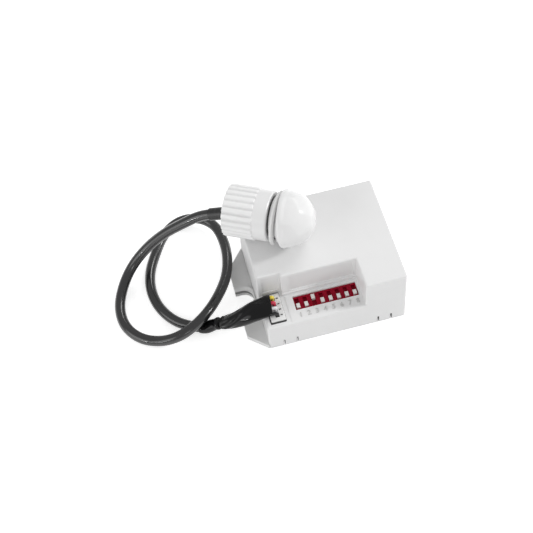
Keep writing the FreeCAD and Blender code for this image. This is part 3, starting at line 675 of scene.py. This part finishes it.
def makeRoundRepeat():
    # copies of one sector round the Z axis, joined to one closed form
    sizes = [("Count", "NodeSocketInt", 24), ("Join distance", "NodeSocketFloat", 0.000005)]
    tree, given, result = newShapeTree("roundRepeat", sizes)
    spots = tree.nodes.new("GeometryNodeMeshLine")
    spots.inputs["Offset"].default_value = (0, 0, 0)
    link(tree, given.outputs["Count"], spots.inputs["Count"])
    index = tree.nodes.new("GeometryNodeInputIndex").outputs[0]
    turn = mathNode(tree, "DIVIDE", mathNode(tree, "MULTIPLY", index, 2 * math.pi), given.outputs["Count"])
    turns = tree.nodes.new("ShaderNodeCombineXYZ")
    link(tree, turn, turns.inputs["Z"])
    copies = tree.nodes.new("GeometryNodeInstanceOnPoints")
    link(tree, spots.outputs["Mesh"], copies.inputs["Points"])
    link(tree, given.outputs["Geometry"], copies.inputs["Instance"])
    link(tree, turns.outputs[0], copies.inputs["Rotation"])
    real = tree.nodes.new("GeometryNodeRealizeInstances")
    link(tree, copies.outputs[0], real.inputs[0])
    joined = tree.nodes.new("GeometryNodeMergeByDistance")
    link(tree, real.outputs[0], joined.inputs["Geometry"])
    link(tree, given.outputs["Join distance"], joined.inputs["Distance"])
    dressResult(tree, given, result, joined.outputs[0])
    return tree


roundRepeat = makeRoundRepeat()
ribbedNut = bakeTree(makeSector(nut), roundRepeat, {"Count": nut["ribs"], "Material": finishes["nut"]})
putOnHead(ribbedNut, "clamp_nut", "nut", "nut")
print("stage: nut ribbed,", len(ribbedNut.data.polygons), "faces")


# head body: barrel with a screw thread, a flange behind the dome and the pocket that seats the board
barrel = {
    "radius": 6.2,
    "back": 2.5,
    "edge": 0.5,
    "flangeBack": 16.8,
    "flangeRadius": 7.7,
    "flangeEdge": 0.1,
    "flangeFront": 18.4,
    "pocketRadius": 7.0,
    "seat": 17.6,
    "bore": 5.0,
    "wallFront": 4.2,
    "capRing": 0.02,       # radius of the small ring that closes each flat end
    "rearRing": 3.0,
    "pitch": 1.5,
    "threadDepth": 0.42,
    "threadStart": 3.1,
    "threadEnd": 13.2,
    "paintedNeckShade": 0.97,     # painted shade in the gap between the collar and the seal ring
    "shadeStart": 13.6,
    "shadeEnd": 14.3,
    "rowStep": 0.1,
    "around": 120,
    "sharpAngle": 40,
}


def makeBarrel(b):
    profile = [(b["capRing"], b["back"]), (b["rearRing"], b["back"]), (b["radius"] - b["edge"], b["back"])]
    s = b["back"] + b["edge"]
    while s < b["flangeBack"] - b["rowStep"] / 10:
        profile.append((b["radius"], s))
        s += b["rowStep"]
    profile += [
        (b["radius"], b["flangeBack"]),
        (b["flangeRadius"] - b["flangeEdge"], b["flangeBack"]),
        (b["flangeRadius"], b["flangeBack"] + b["flangeEdge"]),
        (b["flangeRadius"], b["flangeFront"]),
        (b["pocketRadius"], b["flangeFront"]),
        (b["pocketRadius"], b["seat"]),
        (b["bore"], b["seat"]),
        (b["bore"], b["wallFront"]),
        (b["capRing"], b["wallFront"]),
    ]
    return ringMesh("threadedBarrel", [circle(r, s, b["around"]) for r, s in profile])


def makeThreadTree():
    # a groove that winds round the barrel, by the angle and the place along it
    defaults = {
        "Pitch": 0.0015,
        "Depth": 0.0004,
        "Start": 0.003,
        "End": 0.0145,
        "Fade": 0.0004,
        "Crest edge": 0.12,
        "Root edge": 0.88,
        "Barrel radius": 0.0062,
        "Tolerance": 0.00005,
    }
    sizes = [(label, "NodeSocketFloat", value) for label, value in defaults.items()]
    tree, given, result = newShapeTree("screwThread", sizes)
    size = given.outputs
    spot = tree.nodes.new("ShaderNodeSeparateXYZ")
    link(tree, tree.nodes.new("GeometryNodeInputPosition").outputs[0], spot.inputs[0])
    x, y, z = spot.outputs
    turn = mathNode(tree, "DIVIDE", mathNode(tree, "ARCTAN2", y, x), 2 * math.pi)
    phase = mathNode(tree, "SUBTRACT", mathNode(tree, "DIVIDE", z, size["Pitch"]), turn)
    wave = mathNode(tree, "PINGPONG", mathNode(tree, "MULTIPLY", phase, 2), 1.0)
    wave = mapRange(tree, wave, size["Crest edge"], size["Root edge"])
    fadeIn = mapRange(tree, z, size["Start"], mathNode(tree, "ADD", size["Start"], size["Fade"]))
    fadeOut = mapRange(tree, z, size["End"], mathNode(tree, "SUBTRACT", size["End"], size["Fade"]))
    square = mathNode(tree, "ADD", mathNode(tree, "MULTIPLY", x, x), mathNode(tree, "MULTIPLY", y, y))
    reach = mathNode(tree, "SQRT", square)
    onBarrel = mathNode(tree, "COMPARE", reach, size["Barrel radius"], size["Tolerance"])
    depth = mathNode(tree, "MULTIPLY", wave, size["Depth"])
    for mask in (fadeIn, fadeOut, onBarrel):
        depth = mathNode(tree, "MULTIPLY", depth, mask)
    share = mathNode(tree, "DIVIDE", depth, reach)
    inward = tree.nodes.new("ShaderNodeCombineXYZ")
    for socket, value in zip(inward.inputs, (x, y)):
        link(tree, mathNode(tree, "MULTIPLY", mathNode(tree, "MULTIPLY", value, share), -1), socket)
    moved = tree.nodes.new("GeometryNodeSetPosition")
    link(tree, size["Geometry"], moved.inputs["Geometry"])
    link(tree, inward.outputs[0], moved.inputs["Offset"])
    real = tree.nodes.new("GeometryNodeRealizeInstances")
    link(tree, moved.outputs[0], real.inputs[0])
    dressResult(tree, given, result, real.outputs[0])
    return tree


# shade painted on the barrel in the gap between the collar and the seal ring
def neckDarkness(b, p):
    return b["paintedNeckShade"] if b["shadeStart"] < p.z < b["shadeEnd"] else 0.0


threadTree = makeThreadTree()
plainBarrel = shadeVertices(makeBarrel(barrel), "paintedNeckShade", lambda p: neckDarkness(barrel, p))
threadedBarrel = bakeTree(plainBarrel, threadTree, {
    "Pitch": barrel["pitch"] * mm,
    "Depth": barrel["threadDepth"] * mm,
    "Start": barrel["threadStart"] * mm,
    "End": barrel["threadEnd"] * mm,
    "Barrel radius": barrel["radius"] * mm,
    "Material": finishes["barrel"],
})
sharpenByAngle(threadedBarrel, barrel["sharpAngle"])
putOnHead(threadedBarrel, "head_body", "barrel")
print("stage: barrel threaded,", len(threadedBarrel.data.polygons), "faces")


# milky dome: its lens fields are parts of larger balls, with softly rounded ridges between them
dome = {
    "radius": 8.9,
    "back": 16.85,
    "centre": 18.25,
    "wall": 0.75,
    "seat": 7.88,
    "rim": 0.6,
    "lip": 0.85,
    "lipSteps": 4,
    "upright": 0.25,       # short straight stretch above the lip
    "fieldRadius": 12.0,
    "fieldDepth": 0.38,
    "fields": [
        # how many, degrees above the foot, turn as a share of one field
        (6, 10, 0.325),
        (6, 50, 0.825),
        (1, 90, 0),
    ],
    "facing": 0.5,         # a field that faces a point less than this doesn't shape it
    "softness": 42.0,      # higher is sharper
    "fadeRows": 6,         # rows over which the fields begin
    "lean": (2.7, 3.9),    # degrees about the head's two cross axes
    "around": 240,
    "rise": 84,
    "liningRise": 24,
    "sharpAngle": 50,
}


def fieldNormals(d):
    normals = []
    for count, rise, offset in d["fields"]:
        normals += [pointing((k + offset) * 360 / count, rise) for k in range(count)]
    return normals


def domeReach(d, normals, direction, share):
    # soft minimum of the dome's ball and of every field's ball that faces this direction
    setBack = d["fieldRadius"] - (d["radius"] - d["fieldDepth"])
    k = d["softness"]
    total = 1.0
    for normal in normals:
        facing = direction.dot(normal)
        if facing > d["facing"]:
            across = setBack * setBack * (1 - facing * facing)
            reach = math.sqrt(d["fieldRadius"] ** 2 - across) - setBack * facing
            total += math.exp(-k * (reach - d["radius"]))
    return d["radius"] - share * math.log(total) / k


def lipProfile(d):
    # radius and place along the axis, from the seat round the lip to the foot of the ball
    rows = [(d["seat"], d["back"] + d["rim"]), (d["seat"], d["back"]), (d["radius"] - d["lip"], d["back"])]
    for a in quarterTurn(d["lipSteps"])[1:]:
        rows.append((d["radius"] - d["lip"] * (1 - math.sin(a)), d["back"] + d["lip"] * (1 - math.cos(a))))
    return rows + [(d["radius"], d["back"] + d["lip"] + d["upright"])]


def fieldRings(d):
    # rings over the ball, each point drawn in by the fields that face it
    normals = fieldNormals(d)
    centre = Vector((0, 0, d["centre"]))
    rings = []
    for row in range(d["rise"]):
        rise = math.pi / 2 * row / d["rise"]
        share = min(1.0, row / d["fadeRows"])
        directions = circle(math.cos(rise), math.sin(rise), d["around"])
        rings.append([centre + way * domeReach(d, normals, way, share) for way in directions])
    top = Vector((0, 0, d["centre"] + domeReach(d, normals, Vector((0, 0, 1)), 1)))
    return rings + [[top] * d["around"]]


def liningProfile(d):
    inner = d["radius"] - d["wall"]
    rows = [(d["seat"], d["back"] + d["rim"]), (inner, d["back"] + d["rim"])]
    for row in range(d["liningRise"]):
        rise = math.pi / 2 * row / d["liningRise"]
        rows.append((inner * math.cos(rise), d["centre"] + inner * math.sin(rise)))
    return rows + [(0, d["centre"] + inner)]


def leanMatrix(degrees, centre):
    first, second = (math.radians(angle) for angle in degrees)
    turn = Matrix.Rotation(first, 4, "Y") @ Matrix.Rotation(second, 4, "X")
    return Matrix.Translation(place(0, 0, centre)) @ turn @ Matrix.Translation(place(0, 0, -centre))


def makeDome(d):
    outside = [circle(r, s, d["around"]) for r, s in lipProfile(d)] + fieldRings(d)
    lining = [circle(r, s, d["around"]) for r, s in liningProfile(d)]
    skins = [ringMesh("lensOuter", outside, closed=False), ringMesh("lensInner", lining, closed=False)]
    shell = joinMeshes("lensShell", [skin.data for skin in skins])
    for skin in skins:
        bpy.data.objects.remove(skin)
    sharpenByAngle(shell, d["sharpAngle"])
    shell.data.transform(leanMatrix(d["lean"], d["centre"]))
    return shell


lensShell = makeDome(dome)
putOnHead(lensShell, "lens_dome", "lens")
print("stage: dome cut,", len(lensShell.data.polygons), "faces")


# sleeve shrunk over the lead's end and the four wires
sleeve = {
    "stations": [
        # middle of the sleeve in X, Y and Z, half its width, half its height
        (-40.60, -7.00, 2.35, 1.9, 1.9),
        (-39.65, -7.50, 2.52, 1.95, 1.95),
        (-37.90, -8.20, 3.60, 2.05, 2.05),
        (-34.60, -9.50, 6.05, 1.75, 1.75),
        (-32.30, -10.60, 7.25, 2.3, 2.1),
        (-28.60, -11.50, 9.35, 2.9, 2.2),
        (-24.70, -12.00, 11.65, 3.4, 2.1),
        (-20.30, -12.15, 13.15, 3.75, 1.45),
        (-19.00, -12.15, 13.15, 3.75, 1.45),
    ],
    "around": 120,
    "along": 240,
    "directionStep": 0.01,            # this and every place below are shares of the length
    "wall": 0.28,
    "mouthRings": (0.0, 0.03, 0.08, 0.14, 0.22),
    "mouthSlant": 0.16,
    "slantStart": 0.8,
    "foldDepth": 0.26,
    "folds": [
        # how many round the sleeve, winding, share of the depth
        (2, 1.9, 0.35),
        (3, -4.0, 0.2),
    ],
    "calmRates": (9, 4.5),            # how fast the folds grow from the lead and from the mouth
    "tieAt": 0.385,
    "tieWidth": 0.011,
    "tieDepth": 0.6,
    "tieUneven": 0.1,
    "beads": [
        # distance from the tie, width, share of the tie's depth
        (0.030, 0.014, 0.36),
        (-0.034, 0.018, 0.48),
    ],
    "creases": [
        # starting angle, winding, height, width, place where it has faded
        (0.15, 5.2, 0.30, 0.20, 0.78),
        (-0.55, 5.2, 0.26, 0.18, 0.72),
        (0.95, 3.4, 0.22, 0.26, 0.88),
        (2.4, 4.0, 0.22, 0.24, 0.80),
    ],
    "creaseStart": (0.02, 0.06),      # distance from the tie, length over which the creases rise
    "creaseFade": 0.2,
    "hollow": (0.6, -2.1, 1.2),       # beside each crease: depth, place and width as shares of it
    "roughDepth": 0.10,
    "roughScales": (0.9, 7),          # round the sleeve and along it
}


def smoothBetween(values, t):
    # smooth line through the given values, t from 0 to 1
    count = len(values) - 1
    k = min(int(t * count), count - 1)
    u = t * count - k
    before = values[max(k - 1, 0)]
    start, end = values[k], values[k + 1]
    after = values[min(k + 2, count)]
    return 0.5 * ((2 * start) + (end - before) * u + (2 * before - 5 * start + 4 * end - after) * u * u
                  + (3 * start - before - 3 * end + after) * u * u * u)


def bell(t, middle, width):
    return math.exp(-((t - middle) / width) ** 2)


def shareOf(value):
    return max(0.0, min(1.0, value))


def creaseHeight(s, t, angle):
    # ridges that wind on from the tie, each with a hollow at one side
    past = t - s["tieAt"]
    start, length = s["creaseStart"]
    deep, aside, broad = s["hollow"]
    total = 0.0
    for startAngle, winding, height, width, end in s["creases"]:
        away = angle - startAngle - winding * past
        away = math.atan2(math.sin(away), math.cos(away))
        fade = shareOf((past - start) / length) * shareOf((end - t) / s["creaseFade"])
        total += height * fade * (bell(away, 0, width) - deep * bell(away, aside * width, broad * width))
    return total


def sleeveRelief(s, t, angle):
    # how far the film stands proud of its plain outline, in millimetres
    past = t - s["tieAt"]
    calm = min(1, t * s["calmRates"][0]) * min(1, (1 - t) * s["calmRates"][1])
    folds = sum(share * math.cos(count * angle + winding * t) for count, winding, share in s["folds"])
    beads = sum(share * bell(past, distance, width) for distance, width, share in s["beads"])
    uneven = 1 - s["tieUneven"] * (1 - math.sin(2 * angle + 1))
    roundScale, alongScale = s["roughScales"]
    spot = Vector((math.cos(angle) * roundScale, math.sin(angle) * roundScale, t * alongScale))
    relief = s["foldDepth"] * calm * folds
    relief += s["tieDepth"] * (beads - bell(past, 0, s["tieWidth"])) * uneven
    relief += creaseHeight(s, t, angle)
    return relief + s["roughDepth"] * (noise.noise(spot) * calm - 1)


def sleevePlace(s, t):
    return Vector([smoothBetween([row[axis] for row in s["stations"]], shareOf(t)) for axis in range(3)])


def sleeveRing(s, t, inside=0.0):
    step = s["directionStep"]
    centre = sleevePlace(s, t)
    direction = (sleevePlace(s, t + step) - sleevePlace(s, t - step)).normalized()
    side = direction.cross(Vector((0, 0, 1))).normalized()
    up = side.cross(direction)
    wide, high = (smoothBetween([row[column] for row in s["stations"]], t) for column in (3, 4))
    slant = s["mouthSlant"] * shareOf((t - s["slantStart"]) / (1 - s["slantStart"])) ** 2
    ring = []
    for k in range(s["around"]):
        angle = 2 * math.pi * k / s["around"]
        relief = sleeveRelief(s, t, angle) - inside
        across = math.cos(angle) * (wide + relief)
        rise = math.sin(angle) * (high + relief)
        ring.append(centre + side * across + up * rise - direction * slant * across)
    return ring


def makeSleeve(s):
    rings = [sleeveRing(s, row / s["along"]) for row in range(s["along"] + 1)]
    for depth in s["mouthRings"]:
        rings.append(sleeveRing(s, 1 - depth, s["wall"]))
    obj = ringMesh("shrunkSleeve", rings)
    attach(obj, "lead_and_head")
    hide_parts("heat_shrink_sleeve")
    finish(obj, "sleeveBlack")
    return obj


shrunkSleeve = makeSleeve(sleeve)
print("stage: sleeve shrunk on")


# four wires from the plug's contacts into the sleeve's mouth
wires = {
    "radius": 0.56,
    "roundness": 16,
    "steps": 10,
    "plugX": -17.70,
    "bottom": 10.9,
    "straightTo": 11.6,
    "top": 12.72,
    "bends": [
        # step along X, share of the lean, height above the top
        (0.05, 0.3, -0.1),
        (-0.75, 1.0, 0.12),
        (-3.2, 1.5, -0.05),
    ],
    "rows": [
        # node, finish, place along Y, lean, lift
        ("wire_black", "wireBlack", -15.15, 0.10, 0.06),
        ("wire_white", "wireWhite", -13.15, -0.12, 0.14),
        ("wire_red", "wireRed", -11.15, 0.08, -0.02),
        ("wire_yellow", "wireYellow", -9.15, -0.10, 0.10),
    ],
}


def makeWire(w, node, name, y, lean, lift):
    points = [(w["plugX"], y, w["bottom"]), (w["plugX"], y, w["straightTo"])]
    for step, share, rise in w["bends"]:
        points.append((w["plugX"] + step, y + lean * share, w["top"] + lift + rise))
    wire = smoothCurve(name + "Core", points, w["radius"], w["roundness"], w["steps"])
    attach(wire, "lead_and_head")
    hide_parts(node)
    finish(wire, name)
    return wire


wireCurves = [makeWire(wires, *row) for row in wires["rows"]]
print("stage: wires drawn in")


# raised numbers in front of the switch
numbers = {
    "size": 2.3,
    "raise": 0.18,
    "bevel": 0.02,
    "first": -10.70,
    "pitch": 2.54,
    "y": -16.62,
    "z": 11.1,
}


def numberMesh(n, k):
    data = bpy.data.curves.new("number%d" % (k + 1), "FONT")
    data.body = str(k + 1)
    data.size = n["size"] * mm
    data.extrude = n["raise"] * mm
    data.bevel_depth = n["bevel"] * mm
    data.align_x = "CENTER"
    data.align_y = "CENTER"
    obj = addObject(data.name, data)
    mesh = shapedMesh(obj)
    mesh.transform(Matrix.Translation(place(n["first"] + k * n["pitch"], n["y"], n["z"])))
    bpy.data.objects.remove(obj)
    return mesh


def makeNumbers(n):
    obj = joinMeshes("switchNumbers", [numberMesh(n, k) for k in range(sliderCount)])
    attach(obj, "box")
    finish(obj, "number")


makeNumbers(numbers)
print("stage: numbers raised")


# studio, in metres
studio = {
    "floorSize": 6.0,
    "floorDrop": 0.0001,   # the floor lies just under the part
    "floorColour": (0.84, 0.84, 0.84),
    "floorRoughness": 0.9,
    "floorGloss": 0.1,
    "glow": 0.62,          # added where the camera, gloss or glass sees the floor
    "sky": 0.55,           # the world's light on the part, which the camera sees as white
    "aim": (-0.01, 0.0, 0.01),
    "lamps": [
        # name, place, width, height, watts
        ("key", (0.905, -0.127, 0.56), 0.2, 0.2, 4.4),
        ("front", (-0.15, -0.95, 0.5), 0.24, 0.12, 0.5),
        ("left", (-0.95, -0.30, 0.42), 0.8, 0.8, 2.7),
        ("back", (0.52, 0.44, 0.72), 0.6, 0.18, 1.9),
        ("spark", (-0.78, -0.54, 0.31), 0.05, 0.05, 0.5),
    ],
}


def makeFloor(s):
    mesh = bpy.data.meshes.new("floor")
    half = s["floorSize"] / 2
    corners = [(-half, -half, 0), (half, -half, 0), (half, half, 0), (-half, half, 0)]
    mesh.from_pydata(corners, [], [(0, 1, 2, 3)])
    floor = addObject("floor", mesh)
    floor.location.z = -s["floorDrop"]
    material, tree, shader = newMaterial("floorPaper")
    shader.inputs["Base Color"].default_value = (*s["floorColour"], 1)
    shader.inputs["Roughness"].default_value = s["floorRoughness"]
    shader.inputs["Specular IOR Level"].default_value = s["floorGloss"]
    rays = tree.nodes.new("ShaderNodeLightPath")
    seen = mathNode(tree, "MAXIMUM", rays.outputs["Is Camera Ray"], rays.outputs["Is Glossy Ray"])
    seen = mathNode(tree, "MAXIMUM", seen, rays.outputs["Is Transmission Ray"])
    shader.inputs["Emission Color"].default_value = (1, 1, 1, 1)
    link(tree, mathNode(tree, "MULTIPLY", seen, s["glow"]), shader.inputs["Emission Strength"])
    mesh.materials.append(material)


def makeWorld(s):
    world = bpy.data.worlds.new("studio")
    world.use_nodes = True
    bpy.context.scene.world = world
    tree = world.node_tree
    ground = tree.nodes["Background"]
    rays = tree.nodes.new("ShaderNodeLightPath")
    ground.inputs["Color"].default_value = (1, 1, 1, 1)
    lift = mathNode(tree, "MULTIPLY", rays.outputs["Is Camera Ray"], 1 - s["sky"])
    link(tree, mathNode(tree, "ADD", lift, s["sky"]), ground.inputs["Strength"])


def makeLamps(s):
    for name, spot, width, height, watts in s["lamps"]:
        data = bpy.data.lights.new(name, "AREA")
        data.shape = "ELLIPSE"
        data.size = width
        data.size_y = height
        data.energy = watts
        lamp = addObject(name, data)
        lamp.location = spot
        beam = Vector(s["aim"]) - Vector(spot)
        lamp.rotation_euler = beam.to_track_quat("-Z", "Y").to_euler()


makeFloor(studio)
makeWorld(studio)
makeLamps(studio)
bpy.context.scene.view_settings.view_transform = "Standard"
print("stage: studio lit")

bpy.context.view_layer.update()
